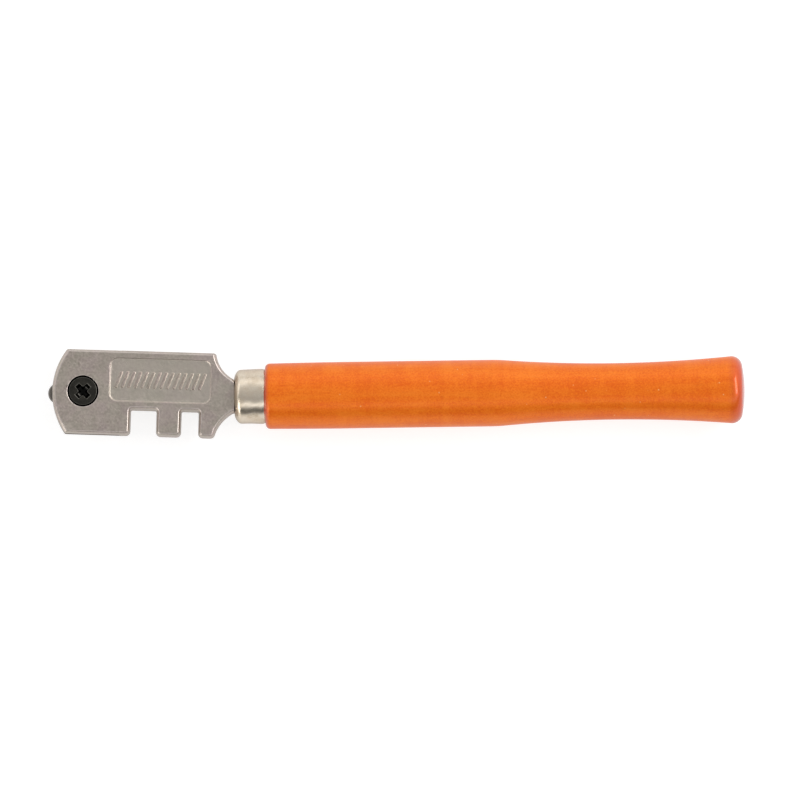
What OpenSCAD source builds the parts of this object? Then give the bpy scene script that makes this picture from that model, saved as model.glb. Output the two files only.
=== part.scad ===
// Hand glass cutter: a wooden handle with a metal ferrule, and a cast head that holds
// a turret of six small cutting wheels and has two breaking notches along one edge.
// The handle lies along X with the working wheel towards -X.
// The head's two flat faces look along +Z (screw side) and -Z.
// Sizes are in millimetres and angles in degrees.

/* [Set of the head] */
// Angle between the head and the handle, seen from +Z
head_set_angle = 2.6; // [0:0.1:6]
// Angle of the working wheel off the head's middle line
turret_index = 5.3; // [-12:0.1:12]
// Angle of the screw's cross recess
screw_turn = 42.6; // [0:0.1:90]

/* [Head plate] */
// Width of the head, from the plain edge to the notched edge
head_w = 16; // [14:0.5:22]
// Thickness of the head between its two flat faces
head_t = 6; // [5.6:0.1:7.5]
// Radius of the rounded nose
nose_r = 13.5; // [10:0.5:30]
// How far the working wheel stands out of the nose
wheel_show = 0.64; // [0.4:0.02:1.2]
// Width of the neck where it meets the ferrule
neck_w = 6.3; // [4.5:0.1:7]
// Length of the neck behind the plate
neck_len = 3.58; // [2.5:0.1:6]
// Radius of the hollow that leads from the plain edge to the neck
plain_scoop_r = 6; // [5.5:0.1:10]
// Radius of the hollow that leads from the notched edge to the neck
notched_scoop_r = 7.6; // [5.5:0.1:12]
// Radius of the plate's rear corner on the plain edge
rear_corner_r = 0.6; // [0.2:0.1:1.2]
// Diameter of the round tang inside the handle
tang_d = 4; // [3:0.1:5]
// Length of the tang behind the ferrule's front
tang_len = 24; // [14:1:34]

/* [Breaking notches] */
// Distance from the screw to the wide notch
notch_from_screw = 9.06; // [8:0.1:14]
// Width of the wide notch, for glass of 3/16 inch
wide_notch_w = 4.76; // [4:0.01:6.5]
// Width of the narrow notch, for glass of 1/8 inch
narrow_notch_w = 3.175; // [2.2:0.005:4]
// Depth of both notches
notch_depth = 4.8; // [3.5:0.1:5.8]
// Width of the tooth between the notches
mid_tooth_w = 4.7; // [3:0.1:7]
// Width of the tooth behind the narrow notch
rear_tooth_w = 2.93; // [2.2:0.01:5]
// Radius of the teeth's outer corners
tooth_r = 0.9; // [0.3:0.1:1]
// Radius in the notches' inner corners
notch_fillet_r = 0.3; // [0.1:0.05:0.6]

/* [Sunken panel] */
// Depth of the panel in each flat face
panel_depth = 0.25; // [0.1:0.05:0.4]
// Distance from the screw to the panel
panel_from_screw = 4.9; // [4.4:0.01:8]
// Rim between the panel and the plain edge
panel_edge_rim = 1.5; // [0.8:0.01:3]
// Rim between the panel and the notches
panel_notch_rim = 1.47; // [0.8:0.01:3]
// Rim between the panel and the plate's rear edge
panel_rear_rim = 0.75; // [0.5:0.01:3]
// Radius of the panel's corners
panel_corner_r = 1.5; // [0.5:0.1:2.5]
// Width of one raised grip bar in the panel
bar_w = 0.55; // [0.3:0.05:1]
// Gap between two grip bars
bar_gap = 0.65; // [0.4:0.05:1.5]
// Height of the row of grip bars, across the head
bar_row_h = 3.05; // [1.5:0.05:5]
// Lean of the grip bars
bar_lean = 20; // [0:1:35]
// Plain length left in the panel at each end of the row
bar_row_margin = 1.15; // [0.6:0.05:4]

/* [Turret and wheels] */
// Number of cutting wheels in the turret
wheel_count = 6; // [6:1:7]
// Diameter of a cutting wheel over its edge
wheel_d = 4; // [3.8:0.05:4.8]
// Width of a cutting wheel
wheel_t = 1; // [0.8:0.05:1.2]
// Included angle of the cutting edge
edge_angle = 134; // [120:1:150]
// Gap between the edges of neighbouring wheels
wheel_gap = 0.54; // [0.4:0.02:1]
// Diameter of a wheel's axle
axle_d = 1; // [0.8:0.05:1.3]
// Thickness of each of the turret's two flanges
flange_t = 0.6; // [0.4:0.05:1]
// Wall of the flange outside the axles
flange_wall = 0.56; // [0.3:0.02:0.8]

/* [Clamp screw] */
// Thread diameter of the screw
screw_d = 3; // [2.5:0.1:3.6]
// Diameter of the screw's countersunk head
screw_head_d = 5.5; // [4.8:0.1:6.5]
// How far the screw's end lies below the head's rear face
screw_sink = 0.2; // [0:0.05:0.8]
// Height of the cylindrical rim on the screw's head
screw_rim_h = 0.08; // [0.04:0.01:0.2]
// Pitch of the thread
thread_pitch = 0.5; // [0.4:0.05:0.7]
// Depth of the thread
thread_depth = 0.27; // [0.2:0.01:0.35]
// Span of the cross recess from tip to tip
cross_span = 3; // [2:0.1:3.2]
// Width of the cross recess's arms
cross_arm_w = 0.85; // [0.5:0.05:1]
// Depth of the cross recess
cross_depth = 1.5; // [0.8:0.1:2]

/* [Ferrule] */
// Outer diameter of the ferrule
ferrule_d = 10.3; // [9:0.1:11.5]
// Length of the ferrule
ferrule_len = 5.8; // [4:0.05:12]
// Wall of the ferrule
ferrule_wall = 0.4; // [0.3:0.05:0.8]
// Radius of the ferrule's front edge
ferrule_round = 1.8; // [1:0.1:2.4]

/* [Handle] */
// Length of the handle behind the ferrule
handle_len = 89.5; // [75:0.25:120]
// Diameter of the handle just behind its front edge
handle_front_d = 12.2; // [11.9:0.05:15]
// Diameter of the barrel that the fingers hold
barrel_d = 12.43; // [11.9:0.01:16]
// Distance from the handle's front to where the barrel is full
barrel_at = 16; // [8:1:30]
// Diameter of the waist
waist_d = 10.54; // [9:0.02:12]
// Distance from the handle's front to the waist
waist_at = 65; // [50:1:80]
// Diameter of the flared end
end_d = 12.56; // [11.9:0.02:16]
// Radius of the handle's front edge
front_edge_r = 0.9; // [0.4:0.1:1.4]
// Radius of the rear edge
end_edge_r = 2; // [1:0.1:4]
// Radius of the domed end face
end_dome_r = 26; // [14:1:60]

/* [Fits] */
// Radial gap of the screw in the turret and in the front cheek
screw_fit = 0.05; // [0.02:0.01:0.1]
// Radial gap between the screw's thread and the tapped hole
thread_fit = 0.06; // [0.04:0.01:0.1]
// Radial gap between the screw's head and the countersink's mouth
countersink_gap = 0.17; // [0.12:0.01:0.3]
// Radial gap of a wheel on its axle
wheel_fit = 0.05; // [0.02:0.01:0.1]
// Gap beside a wheel in the turret's groove
wheel_side_gap = 0.05; // [0.02:0.01:0.1]
// Gap beyond a wheel's edge at the bottom of the groove
groove_gap = 0.15; // [0.05:0.01:0.3]
// Gap between the turret and each cheek
turret_side_gap = 0.05; // [0.02:0.01:0.1]
// Gap between the wheels and the back of the head's slot
slot_back_gap = 0.46; // [0.2:0.02:1]
// How far each axle end lies below its flange
axle_sink = 0.05; // [0.02:0.01:0.1]
// Radial gap of the tang in the ferrule and in the wood
tang_fit = 0.03; // [0.01:0.01:0.1]
// Radial gap of the wooden spigot in the ferrule
spigot_fit = 0.03; // [0.01:0.01:0.1]
// Free depth of the handle's bore beyond the tang
bore_spare = 1; // [0.5:0.5:4]

/* [Hidden] */
$fn = 96;
// Finer setting for the handle's long arcs
long_arc_fn = 960;
// Small overlap that makes cuts run clean through
cut = 0.5;

// Turret
wheel_r = wheel_d / 2;
wheel_pitch_r = (wheel_d + wheel_gap) / 2 / sin(180 / wheel_count);
turret_r = wheel_pitch_r + axle_d / 2 + flange_wall;
groove_t = wheel_t + 2 * wheel_side_gap;
groove_r = wheel_pitch_r - wheel_r - groove_gap;
turret_t = groove_t + 2 * flange_t;
slot_t = turret_t + 2 * turret_side_gap;
axle_len = turret_t - 2 * axle_sink;
wheel_step = 360 / wheel_count;

// Head plate, seen from the screw's axis with X towards the handle
nose_x = -(wheel_pitch_r + wheel_r - wheel_show);
narrow_notch_from = notch_from_screw + wide_notch_w + mid_tooth_w;
plate_back = narrow_notch_from + narrow_notch_w + rear_tooth_w;
head_len = plate_back + neck_len;
slot_back = wheel_pitch_r + wheel_r + slot_back_gap;
nose_corner_x = nose_x + nose_r - sqrt(pow(nose_r, 2) - pow(head_w / 2, 2));
plain_edge_y = head_w / 2;
notched_edge_y = -head_w / 2;
notch_top_y = notched_edge_y + notch_depth;

// Screw
screw_r = screw_d / 2;
hole_r = screw_r + screw_fit;
screw_head_r = screw_head_d / 2;
countersink_r = screw_head_r + countersink_gap;
thread_root_r = screw_r - thread_depth;
screw_len = head_t - screw_sink;
cheek_t = (head_t - slot_t) / 2;

// Sunken panel
panel_top_y = plain_edge_y - panel_edge_rim;
panel_low_y = notch_top_y + panel_notch_rim;
panel_end_x = plate_back - panel_rear_rim;
bar_step = bar_w + bar_gap;
bar_row_len = panel_end_x - panel_from_screw - 2 * bar_row_margin;
bar_count = floor((bar_row_len + bar_gap) / bar_step);
bar_mid_x = (panel_from_screw + panel_end_x) / 2;
bar_mid_y = (panel_top_y + panel_low_y) / 2;

// Ferrule and handle
ferrule_r = ferrule_d / 2;
tang_r = tang_d / 2;
tang_hole_r = tang_r + tang_fit;
spigot_r = ferrule_r - ferrule_wall - spigot_fit;
spigot_len = ferrule_len - ferrule_wall - spigot_fit;
handle_front_r = handle_front_d / 2;
barrel_r = barrel_d / 2;
waist_r = waist_d / 2;
end_r = end_d / 2;
dome_x = handle_len - end_dome_r;
end_corner_r = end_r - end_edge_r;
end_corner_x = dome_x + sqrt(pow(end_dome_r - end_edge_r, 2) - pow(end_corner_r, 2));
flare_run = end_corner_x - waist_at;
flare_rise = end_r - waist_r;
waist_arc_r = (pow(flare_run, 2) + pow(flare_rise, 2)) / (2 * flare_rise);

// A point of the head plate, moved to the handle's own axes
function from_head(p) = [
    (p[0] - head_len) * cos(head_set_angle) + p[1] * sin(head_set_angle),
    -(p[0] - head_len) * sin(head_set_angle) + p[1] * cos(head_set_angle)
];

// Centre of an arc of radius r from p to q that bulges towards the head's middle line
function arc_centre(p, q, r, side) =
    let (d = norm(q - p), mid = (p + q) / 2, across = [q[1] - p[1], p[0] - q[0]] / d)
    mid + side * across * sqrt(r * r - d * d / 4);

// Wheel number i, counted from the working wheel
function wheel_at(i) =
    let (a = 180 + turret_index + i * wheel_step)
    [wheel_pitch_r * cos(a), wheel_pitch_r * sin(a)];

// Middle of the whole cutter, so that the frame's origin lies below it
low_x = from_head(wheel_at(0))[0] - wheel_r;
high_x = ferrule_len + handle_len;
high_y = from_head([nose_corner_x, plain_edge_y])[1];
low_y = min(from_head([plate_back - tooth_r, notched_edge_y])[1], -max(end_r, barrel_r));
lift = max(end_r, barrel_r);
origin_shift = [-(low_x + high_x) / 2, -(low_y + high_y) / 2, lift];

zinc = [0.62, 0.58, 0.54];
nickel = [0.9, 0.85, 0.76];
orange_wood = [0.93, 0.48, 0.17];
black_steel = [0.2, 0.19, 0.17];
hard_steel = [0.35, 0.33, 0.31];
plain_steel = [0.55, 0.54, 0.52];

// ---- Frames ----

// Children drawn on the handle's axes, with X = 0 at the ferrule's front
module on_handle() {
    translate(origin_shift) children();
}

// Children drawn on the head's axes, with the screw at the origin
module on_head() {
    on_handle()
        rotate([0, 0, -head_set_angle])
        translate([-head_len, 0, 0])
        children();
}

// Children turned from Z to X, for pieces turned about the handle's axis
module along_x() {
    rotate([0, 90, 0]) children();
}

// ---- Head ----

// The waste at an outer corner at the origin whose sides run towards +X and +Y
module corner_waste(r) {
    difference() {
        translate([-cut, -cut]) square(r + cut);
        translate([r, r]) circle(r);
    }
}

// The web that rounds an inner corner at the origin whose sides run towards +X and +Y
module corner_web(r) {
    difference() {
        square(r);
        translate([r, r]) circle(r);
    }
}

module notch(from_x, width) {
    difference() {
        translate([from_x, notched_edge_y - cut]) square([width, notch_depth + cut]);
        translate([from_x, notch_top_y]) mirror([0, 1]) corner_web(notch_fillet_r);
        translate([from_x + width, notch_top_y]) mirror([0, 1]) mirror([1, 0]) corner_web(notch_fillet_r);
    }
    translate([from_x, notched_edge_y]) mirror([1, 0]) corner_waste(tooth_r);
    translate([from_x + width, notched_edge_y]) corner_waste(tooth_r);
}

module scoops() {
    top_from = [plate_back, plain_edge_y];
    top_to = [head_len, neck_w / 2];
    low_from = [plate_back, notched_edge_y];
    low_to = [head_len, -neck_w / 2];
    intersection() {
        union() {
            translate(arc_centre(top_from, top_to, plain_scoop_r, -1)) circle(plain_scoop_r);
            translate([head_len, top_to[1]]) square([2 * cut, head_w]);
        }
        translate([plate_back - neck_len, 0]) square([2 * neck_len + 2 * cut, head_w]);
    }
    intersection() {
        union() {
            translate(arc_centre(low_from, low_to, notched_scoop_r, 1)) circle(notched_scoop_r);
            translate([head_len, low_to[1] - head_w]) square([2 * cut, head_w]);
        }
        translate([plate_back - neck_len, -head_w]) square([2 * neck_len + 2 * cut, head_w]);
    }
}

// Flat outline of the head, run on past the ferrule's front so that it can be cut square
module head_outline() {
    nose_centre = nose_x + nose_r;
    difference() {
        intersection() {
            union() {
                translate([nose_centre, 0]) circle(nose_r);
                translate([nose_centre, -head_w]) square([head_len + cut - nose_centre, 2 * head_w]);
            }
            translate([nose_x, notched_edge_y]) square([head_len + cut - nose_x, head_w]);
        }
        scoops();
        notch(notch_from_screw, wide_notch_w);
        notch(narrow_notch_from, narrow_notch_w);
        translate([plate_back, notched_edge_y]) mirror([1, 0]) corner_waste(tooth_r);
        translate([plate_back, plain_edge_y]) mirror([1, 0]) mirror([0, 1]) corner_waste(rear_corner_r);
    }
}

module panel_outline() {
    w = panel_end_x - panel_from_screw;
    h = panel_top_y - panel_low_y;
    translate([panel_from_screw, panel_low_y]) {
        translate([panel_corner_r, 0]) square([w - 2 * panel_corner_r, h]);
        translate([0, panel_corner_r]) square([w, h - 2 * panel_corner_r]);
        for (x = [panel_corner_r, w - panel_corner_r], y = [panel_corner_r, h - panel_corner_r])
            translate([x, y]) circle(panel_corner_r);
    }
}

// One leaning grip bar, centred on the origin
module bar_outline() {
    lean = bar_row_h / 2 * tan(bar_lean);
    half = bar_w / 2;
    polygon([
        [-half - lean, -bar_row_h / 2],
        [half - lean, -bar_row_h / 2],
        [half + lean, bar_row_h / 2],
        [-half + lean, bar_row_h / 2]
    ]);
}

// The sunken panel in one flat face, less its row of raised bars
module panel_waste() {
    difference() {
        translate([0, 0, head_t / 2 - panel_depth])
            linear_extrude(panel_depth + cut) panel_outline();
        for (i = [0:bar_count - 1])
            translate([bar_mid_x + (i - (bar_count - 1) / 2) * bar_step, bar_mid_y, head_t / 2 - panel_depth - cut])
                linear_extrude(panel_depth + cut) bar_outline();
    }
}

// Flat-flanked rings at the thread's pitch, from z = 0 down to z = -length
module thread_rings(root_r, crest_r, length) {
    turns = floor(length / thread_pitch);
    rotate_extrude()
        polygon(concat(
            [[0, 0], [root_r, 0]],
            [for (i = [0:turns - 1], half = [0, 1])
                half == 0
                    ? [crest_r, -(i + 0.5) * thread_pitch]
                    : [root_r, -(i + 1) * thread_pitch]],
            [[root_r, -length], [0, -length]]
        ));
}

module screw_hole() {
    top = head_t / 2;
    cone_h = countersink_r - hole_r;
    translate([0, 0, top]) cylinder(h = cut, r = countersink_r);
    translate([0, 0, top - cone_h]) cylinder(h = cone_h, r1 = hole_r, r2 = countersink_r);
    translate([0, 0, -slot_t / 2]) cylinder(h = top - cone_h + slot_t / 2, r = hole_r);
    translate([0, 0, -slot_t / 2])
        thread_rings(thread_root_r + thread_fit, screw_r + thread_fit, cheek_t + cut);
}

// The slot between the cheeks, open at the nose and along both edges
module turret_slot() {
    translate([nose_x - cut, -head_w, -slot_t / 2])
        cube([slot_back - nose_x + cut, 2 * head_w, slot_t]);
}

module head() {
    color(zinc) {
        intersection() {
            on_head() difference() {
                translate([0, 0, -head_t / 2]) linear_extrude(head_t) head_outline();
                turret_slot();
                screw_hole();
                panel_waste();
                mirror([0, 0, 1]) panel_waste();
            }
            on_handle() translate([-2 * head_len, -head_w, -head_t]) cube([2 * head_len, 2 * head_w, 2 * head_t]);
        }
        on_handle() translate([-cut, 0, 0]) along_x() cylinder(h = tang_len + cut, r = tang_r);
    }
}

// ---- Turret and wheels ----

module turret() {
    color(plain_steel)
        on_head() difference() {
            translate([0, 0, -turret_t / 2]) cylinder(h = turret_t, r = turret_r);
            difference() {
                translate([0, 0, -groove_t / 2]) cylinder(h = groove_t, r = turret_r + cut);
                translate([0, 0, -groove_t]) cylinder(h = 2 * groove_t, r = groove_r);
            }
            translate([0, 0, -turret_t]) cylinder(h = 2 * turret_t, r = hole_r);
            for (i = [0:wheel_count - 1])
                translate([wheel_at(i)[0], wheel_at(i)[1], -turret_t]) cylinder(h = 2 * turret_t, r = axle_d / 2);
        }
}

module wheel(i) {
    half = wheel_t / 2;
    land_r = wheel_r - half / tan(edge_angle / 2);
    bore_r = axle_d / 2 + wheel_fit;
    color(hard_steel)
        on_head() translate([wheel_at(i)[0], wheel_at(i)[1], 0])
            rotate_extrude()
                polygon([[bore_r, -half], [land_r, -half], [wheel_r, 0], [land_r, half], [bore_r, half]]);
}

module axle(i) {
    color(plain_steel)
        on_head() translate([wheel_at(i)[0], wheel_at(i)[1], -axle_len / 2])
            cylinder(h = axle_len, r = axle_d / 2);
}

// ---- Clamp screw ----

module cross_recess() {
    rotate([0, 0, screw_turn + head_set_angle]) intersection() {
        translate([0, 0, -cross_depth]) union() {
            for (a = [0, 90])
                rotate([0, 0, a]) translate([-cross_span, -cross_arm_w / 2, 0])
                    cube([2 * cross_span, cross_arm_w, cross_depth + cut]);
        }
        translate([0, 0, -cross_depth])
            cylinder(h = cross_depth + cut, r1 = cross_arm_w / 2, r2 = cross_span / 2 + cut);
    }
}

module clamp_screw() {
    top = head_t / 2;
    cone_h = screw_head_r - screw_r;
    thread_top = -slot_t / 2;
    color(black_steel)
        on_head() difference() {
            union() {
                translate([0, 0, top - screw_rim_h]) cylinder(h = screw_rim_h, r = screw_head_r);
                translate([0, 0, top - screw_rim_h - cone_h])
                    cylinder(h = cone_h, r1 = screw_r, r2 = screw_head_r);
                translate([0, 0, thread_top]) cylinder(h = top - screw_rim_h - thread_top, r = screw_r);
                translate([0, 0, thread_top])
                    thread_rings(thread_root_r, screw_r, screw_len - top + thread_top);
            }
            translate([0, 0, top]) cross_recess();
        }
}

// ---- Ferrule and handle ----

// Half section of a cup with a rounded front edge, as [radius, distance from the front]
module cup_section(r, front, edge_r, back) {
    translate([0, front]) square([r - edge_r, back - front]);
    translate([r - edge_r, front + edge_r]) circle(edge_r);
    translate([0, front + edge_r]) square([r, back - front - edge_r]);
}

module ferrule() {
    color(nickel)
        on_handle() along_x() rotate_extrude() intersection() {
            difference() {
                cup_section(ferrule_r, 0, ferrule_round, ferrule_len);
                cup_section(ferrule_r - ferrule_wall, ferrule_wall, ferrule_round - ferrule_wall, ferrule_len + cut);
                square([tang_hole_r, ferrule_len]);
            }
            square([ferrule_r, ferrule_len]);
        }
}

// Half section of the handle, as [radius, distance from the handle's front]
module handle_section() {
    reach = end_dome_r + end_edge_r;
    slope = asin(end_corner_r / (end_dome_r - end_edge_r));
    square([handle_front_r - front_edge_r, front_edge_r]);
    translate([handle_front_r - front_edge_r, front_edge_r]) circle(front_edge_r);
    difference() {
        polygon([
            [0, front_edge_r],
            [handle_front_r, front_edge_r],
            [barrel_r, barrel_at],
            [barrel_r, waist_at],
            [end_r, waist_at],
            [end_r, end_corner_x],
            [0, end_corner_x]
        ]);
        translate([waist_r + waist_arc_r, waist_at]) circle(waist_arc_r, $fn = long_arc_fn);
    }
    translate([end_corner_r, end_corner_x]) circle(end_edge_r);
    intersection() {
        translate([0, dome_x]) circle(end_dome_r, $fn = long_arc_fn);
        polygon([
            [0, end_corner_x - end_edge_r],
            [end_corner_r, end_corner_x - end_edge_r],
            [end_corner_r, end_corner_x],
            [reach * sin(slope), dome_x + reach * cos(slope)],
            [0, dome_x + reach]
        ]);
    }
}

module handle() {
    chamfer = ferrule_round;
    color(orange_wood)
        on_handle() along_x() difference() {
            union() {
                translate([0, 0, ferrule_len]) rotate_extrude() handle_section();
                translate([0, 0, ferrule_len - spigot_len + chamfer])
                    cylinder(h = spigot_len - chamfer + cut, r = spigot_r);
                translate([0, 0, ferrule_len - spigot_len])
                    cylinder(h = chamfer, r1 = spigot_r - chamfer, r2 = spigot_r);
            }
            cylinder(h = tang_len + bore_spare, r = tang_hole_r);
        }
}

head();
turret();
for (i = [1:wheel_count]) wheel(i - 1);
for (i = [1:wheel_count]) axle(i - 1);
clamp_screw();
ferrule();
handle();
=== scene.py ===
import math

import bmesh
import bpy
import numpy as np
from mathutils import Matrix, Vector
from mathutils.geometry import tessellate_polygon


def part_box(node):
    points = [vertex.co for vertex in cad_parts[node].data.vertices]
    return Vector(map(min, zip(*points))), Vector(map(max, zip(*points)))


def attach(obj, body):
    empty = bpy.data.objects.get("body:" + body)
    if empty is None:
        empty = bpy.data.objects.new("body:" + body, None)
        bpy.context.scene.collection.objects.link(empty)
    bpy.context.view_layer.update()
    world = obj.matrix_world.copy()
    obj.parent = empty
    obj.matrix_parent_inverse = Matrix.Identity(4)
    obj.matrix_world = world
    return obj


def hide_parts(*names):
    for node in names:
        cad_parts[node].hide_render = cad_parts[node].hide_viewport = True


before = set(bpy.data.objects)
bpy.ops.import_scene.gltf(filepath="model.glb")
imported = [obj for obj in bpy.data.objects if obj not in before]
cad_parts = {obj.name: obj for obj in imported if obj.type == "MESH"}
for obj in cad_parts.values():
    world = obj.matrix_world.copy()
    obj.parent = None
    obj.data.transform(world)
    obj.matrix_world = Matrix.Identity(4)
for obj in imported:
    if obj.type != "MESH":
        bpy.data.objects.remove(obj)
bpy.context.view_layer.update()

MM = 0.001


# ---- Head casting ----
# A die-cast zinc plate with two cheeks, satin nickel plated. Its walls lean in from the parting line at
# mid thickness, each flat face has a sunken panel with raised grip bars, and two notches for breaking
# glass are cast in one edge. The round tang at its back is driven into the handle.

def box_mm(node):
    """Lowest and highest corner of a node's solid, in millimetres."""
    low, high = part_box(node)
    return np.array(low) / MM, np.array(high) / MM


screw_low, screw_high = box_mm("clamp_screw")
ferrule_low, ferrule_high = box_mm("ferrule")
head_low, head_high = box_mm("head")
screw_axis = (screw_low + screw_high)[:2] / 2
neck_end = np.array([ferrule_low[0], (ferrule_low[1] + ferrule_high[1]) / 2])
head_mid_z = (head_low[2] + head_high[2]) / 2
head_half_t = (head_high[2] - head_low[2]) / 2
head_len = float(np.linalg.norm(neck_end - screw_axis))
along = (neck_end - screw_axis) / head_len
across = np.array([-along[1], along[0]])


def from_head(points):
    """Head axes to row axes: origin on the screw's axis at mid thickness, X towards the handle."""
    p = np.asarray(points, float)
    flat = screw_axis + p[..., :1] * along + p[..., 1:2] * across
    return np.concatenate([flat, p[..., 2:3] + head_mid_z], axis=-1)


def arc(centre, radius, start, end, count):
    """Points at equal angles from start to end, in degrees, on a circle."""
    a = np.radians(np.linspace(start, end, count))
    return np.stack([centre[0] + radius * np.cos(a), centre[1] + radius * np.sin(a)], axis=-1)


def circle(radius, centre=(0, 0), count=64):
    return arc(centre, radius, 0, 360 - 360 / count, count)


def arc_through(p, q, radius, side, trim_start, trim_end, count):
    """Points on the arc of a given radius from p to q, less a trimmed length at each end. The centre
    lies on the chord's normal, at sqrt(radius^2 - (chord / 2)^2) from its middle."""
    p, q = np.array(p), np.array(q)
    chord = np.linalg.norm(q - p)
    normal = np.array([q[1] - p[1], p[0] - q[0]]) / chord
    centre = (p + q) / 2 + side * normal * math.sqrt(radius ** 2 - chord ** 2 / 4)
    a = math.degrees(math.atan2(*(p - centre)[::-1]))
    b = math.degrees(math.atan2(*(q - centre)[::-1]))
    sweep = (b - a + 180) % 360 - 180
    step = math.degrees(1 / radius) * math.copysign(1, sweep)
    return arc(centre, radius, a + trim_start * step, a + sweep - trim_end * step, count)


def inset_loop(corners, radii, moves, inset, count=9):
    """A closed outline moved inwards by inset. Each corner goes to the crossing of its two moved sides,
    n1.(q - p) = n2.(q - p) = -inset, and is then rounded with its radius less the inset where it
    sticks out, or plus the inset where it is hollow. moves holds each side's share of the inset, such
    as 0 for a side that stays in place."""
    p = np.asarray(corners, float)
    before, after = np.roll(p, 1, axis=0), np.roll(p, -1, axis=0)
    into = (p - before) / np.linalg.norm(p - before, axis=1, keepdims=True)
    out = (after - p) / np.linalg.norm(after - p, axis=1, keepdims=True)
    n1 = np.stack([into[:, 1], -into[:, 0]], axis=-1)
    n2 = np.stack([out[:, 1], -out[:, 0]], axis=-1)
    d1, d2 = -inset * np.roll(moves, 1), -inset * np.asarray(moves)
    det = n1[:, 0] * n2[:, 1] - n1[:, 1] * n2[:, 0]
    flat = np.abs(det) < 1e-6
    safe = np.where(flat, 1, det)
    q = p + np.stack([d1 * n2[:, 1] - d2 * n1[:, 1], n1[:, 0] * d2 - n2[:, 0] * d1], axis=-1) / safe[:, None]
    q = np.where(flat[:, None], p + n1 * d1[:, None], q)
    turn = np.arctan2(into[:, 0] * out[:, 1] - into[:, 1] * out[:, 0], (into * out).sum(axis=1))
    radii = np.asarray(radii, float)
    rounded = np.where(radii > 0, np.maximum(radii - inset * np.sign(turn), 0.02), 0)
    pieces = []
    for i in range(len(q)):
        if rounded[i] == 0:
            pieces.append(q[i:i + 1])
            continue
        setback = rounded[i] * math.tan(abs(turn[i]) / 2)
        start = q[i] - into[i] * setback
        side = np.array([-into[i][1], into[i][0]]) * math.copysign(1, turn[i])
        centre = start + side * rounded[i]
        first = math.degrees(math.atan2(*(start - centre)[::-1]))
        pieces.append(arc(centre, rounded[i], first, first + math.degrees(turn[i]), count))
    return np.concatenate(pieces)


class Shell:
    """A closed surface put together from loops of points: a band of quads joins two loops of the same
    count, and a cap of triangles fills a flat loop round its holes."""

    def __init__(self):
        self.points, self.quads, self.triangles, self.count = [], [], [], 0

    def loop(self, flat, z):
        """Adds a closed loop at height z and returns its point numbers."""
        self.points.append(np.column_stack([flat, np.broadcast_to(z, len(flat))]))
        self.count += len(flat)
        return np.arange(self.count - len(flat), self.count)

    def band(self, low, high):
        self.quads.append(np.stack([low, np.roll(low, -1), np.roll(high, -1), high], axis=-1))

    def cap(self, *loops):
        points, numbers = np.concatenate(self.points), np.concatenate(loops)
        found = tessellate_polygon([points[loop].tolist() for loop in loops])
        self.triangles.append(numbers[np.array(found)])

    def walls(self, flats, heights):
        """Adds a loop for each height, joins each to the next and returns the first and the last."""
        loops = [self.loop(flat, z) for flat, z in zip(flats, heights)]
        for low, high in zip(loops, loops[1:]):
            self.band(low, high)
        return loops[0], loops[-1]

    def mesh(self, name, place=lambda p: p):
        faces = [row for part in (*self.quads, *self.triangles) for row in part.tolist()]
        return solid(name, place(np.concatenate(self.points)), faces)


def solid(name, points, faces):
    """An object from points in millimetres and faces, with doubles merged and normals turned outwards."""
    data = bpy.data.meshes.new(name)
    data.from_pydata((np.asarray(points) * MM).tolist(), [], faces)
    piece = bpy.data.objects.new(name, data)
    bpy.context.scene.collection.objects.link(piece)
    tidy_normals(piece)
    return piece


def tidy_normals(piece, merge=2e-7):
    """Merges doubled points, drops faces of no area and turns every face outwards."""
    bm = bmesh.new()
    bm.from_mesh(piece.data)
    bmesh.ops.remove_doubles(bm, verts=bm.verts, dist=merge)
    bmesh.ops.dissolve_degenerate(bm, edges=bm.edges, dist=merge)
    bmesh.ops.recalc_face_normals(bm, faces=bm.faces)
    bm.to_mesh(piece.data)
    bm.free()


def smooth(piece, sharp_angle):
    """Shades the piece smooth, but for edges sharper than an angle in degrees."""
    piece.data.shade_smooth()
    piece.data.set_sharp_from_angle(angle=math.radians(sharp_angle))


def join_or_cut(piece, cutter, operation="DIFFERENCE"):
    """Takes the cutter's volume out of the piece, or adds it, and removes the cutter."""
    step = piece.modifiers.new("cut", "BOOLEAN")
    step.operation, step.solver, step.object = operation, "EXACT", cutter
    bpy.context.view_layer.update()
    shown = piece.evaluated_get(bpy.context.evaluated_depsgraph_get())
    made = bpy.data.meshes.new_from_object(shown)
    piece.modifiers.clear()
    piece.data = made
    bpy.data.objects.remove(cutter)
    tidy_normals(piece)


head_w, notch_depth = 16.0, 4.8
nose_reach, nose_r, nose_corner_r = 5.9, 13.5, 0.55
notch_top = notch_depth - head_w / 2
wide_notch, narrow_notch = (9.06, 13.82), (18.52, 21.695)
plate_back, neck_half = 24.625, 3.15
low_scoop_r, top_scoop_r = 7.6, 6.0
tooth_r, notch_fillet_r, rear_corner_r = 0.9, 0.3, 0.6
nose_rounding = 1.3

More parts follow.
